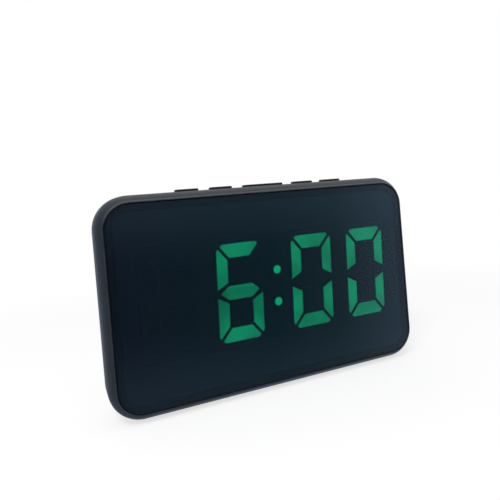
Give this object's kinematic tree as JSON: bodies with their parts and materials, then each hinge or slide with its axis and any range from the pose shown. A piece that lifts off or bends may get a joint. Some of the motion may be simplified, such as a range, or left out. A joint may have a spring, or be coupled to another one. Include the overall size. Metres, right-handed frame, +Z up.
{
  "type": "digital desk clock",
  "caption": "Low rectangular desk clock with a dark flush lens over green seven-segment digits, a rolled rim, push buttons along the top and a battery door behind.",
  "frame": {"origin": "centre of the bounding box on the plane the feet stand on", "axes": "+X to the viewer's right along the face, +Y to the back, +Z up"},
  "size_m": [0.1606, 0.028, 0.099],
  "materials": {
    "shell_plastic": "satin charcoal",
    "cover_plastic": "fine moulded texture, black",
    "button_plastic": "smooth black",
    "lens_glass": "dark tinted, polished",
    "tape": "black foam tape",
    "mask_film": "black film",
    "reflector_plastic": "white moulded",
    "lit_segment": "lit green diffuser",
    "unlit_segment": "unlit diffuser",
    "board_green": "solder mask",
    "led_package": "white package",
    "switch_black": "moulded",
    "stem_plastic": "moulded",
    "screw_steel": "zinc plated",
    "contact_steel": "nickel plated",
    "cell_jacket": "plain coloured jacket",
    "foot_rubber": "matt black",
    "jack_plastic": "black, plated pin",
    "wire_red_black": "insulated wire",
    "ribbon_grey": "flat cable",
    "chip_black": "moulded package",
    "can_metal": "drawn can",
    "buzzer_black": "moulded"
  },
  "bodies": {
    "root": {"front_shell": "shell_plastic", "rear_cover": "cover_plastic", "front_lens": "lens_glass", "lens_tape": "tape", "segment_mask": "mask_film", "reflector_frame": "reflector_plastic", "display_board": "board_green", "segment_leds": "led_package", "digit_1_unlit": "unlit_segment", "digit_2_lit": "lit_segment", "digit_2_unlit": "unlit_segment", "digit_3_lit": "lit_segment", "digit_3_unlit": "unlit_segment", "digit_4_lit": "lit_segment", "digit_4_unlit": "unlit_segment", "colon_dots": "lit_segment", "key_board": "board_green", "key_board_screws": "screw_steel", "key_ribbon": "ribbon_grey", "case_screws": "screw_steel", "board_screws": "screw_steel", "battery_contacts": "contact_steel", "battery_leads": "wire_red_black", "power_jack": "jack_plastic", "jack_leads": "wire_red_black", "buzzer": "buzzer_black", "controller_chip": "chip_black", "crystal_can": "can_metal", "board_capacitors": "can_metal", "foot_pads": "foot_rubber", "switch_body_outer_left": "switch_black", "switch_body_inner_left": "switch_black", "switch_body_wide": "switch_black", "switch_body_inner_right": "switch_black", "switch_body_outer_right": "switch_black", "cell_1": "cell_jacket", "cell_2": "cell_jacket", "cell_3": "cell_jacket"},
    "battery_door": {"battery_door": "cover_plastic"},
    "button_outer_left": {"button_outer_left": "button_plastic", "switch_stem_outer_left": "stem_plastic"},
    "button_inner_left": {"button_inner_left": "button_plastic", "switch_stem_inner_left": "stem_plastic"},
    "button_wide": {"button_wide": "button_plastic", "switch_stem_wide": "stem_plastic"},
    "button_inner_right": {"button_inner_right": "button_plastic", "switch_stem_inner_right": "stem_plastic"},
    "button_outer_right": {"button_outer_right": "button_plastic", "switch_stem_outer_right": "stem_plastic"}
  },
  "joints": [
    {"name": "press_outer_left", "type": "slide", "parent": "root", "child": "button_outer_left", "axis": [0, 0, -1], "range_m": [0, 0.0005], "stiffness_N_per_m": 800},
    {"name": "press_inner_left", "type": "slide", "parent": "root", "child": "button_inner_left", "axis": [0, 0, -1], "range_m": [0, 0.0005], "stiffness_N_per_m": 800},
    {"name": "press_wide", "type": "slide", "parent": "root", "child": "button_wide", "axis": [0, 0, -1], "range_m": [0, 0.0005], "stiffness_N_per_m": 800},
    {"name": "press_inner_right", "type": "slide", "parent": "root", "child": "button_inner_right", "axis": [0, 0, -1], "range_m": [0, 0.0005], "stiffness_N_per_m": 800},
    {"name": "press_outer_right", "type": "slide", "parent": "root", "child": "button_outer_right", "axis": [0, 0, -1], "range_m": [0, 0.0005], "stiffness_N_per_m": 800},
    {"name": "door_hinge", "type": "hinge", "parent": "root", "child": "battery_door", "pos_m": [0, 0.014, 0.02195], "axis": [-1, 0, 0], "range_deg": [0, 90]}
  ]
}
